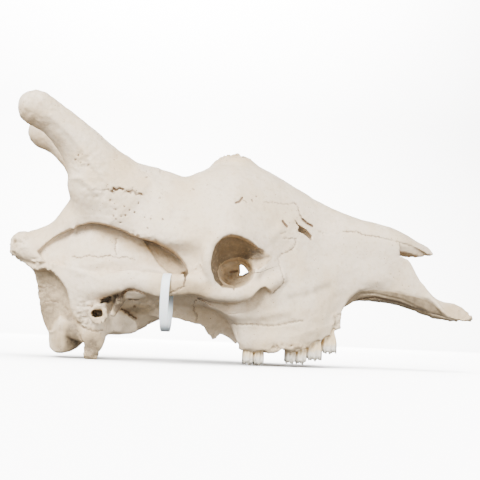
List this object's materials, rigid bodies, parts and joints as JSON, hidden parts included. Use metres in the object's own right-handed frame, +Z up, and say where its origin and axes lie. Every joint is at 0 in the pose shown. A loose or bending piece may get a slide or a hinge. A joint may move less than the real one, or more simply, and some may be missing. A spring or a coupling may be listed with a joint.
{
  "type": "giraffe skull",
  "caption": "Life-size giraffe skull without the lower jaw, bleached bone in separate named bones, with a plastic tag loop round the right cheek arch.",
  "frame": {"origin": "middle of the footprint box, on the floor the skull rests on", "axes": "+X towards the nose along the length, +Z up, the skull's left side at +Y"},
  "size_m": [0.6378, 0.2514, 0.3446],
  "materials": {
    "bone": "matt dry bleached bone",
    "horn_bone": "matt bone with fine pores",
    "bone_and_teeth": "matt bleached bone, with satin grey-white enamel on the teeth",
    "tag_plastic": "satin bluish white"
  },
  "bodies": {
    "root": {"occiput": "bone", "braincase": "bone", "frontal": "bone", "nasals": "bone", "ossicone_right": "horn_bone", "ossicone_left": "horn_bone", "ossicone_median": "horn_bone", "cheek_bone_right": "bone", "cheek_bone_left": "bone", "pterygoid_right": "bone", "pterygoid_left": "bone", "maxilla_right": "bone_and_teeth", "maxilla_left": "bone_and_teeth", "premaxilla_right": "bone", "premaxilla_left": "bone", "tag_loop": "tag_plastic"}
  },
  "joints": []
}
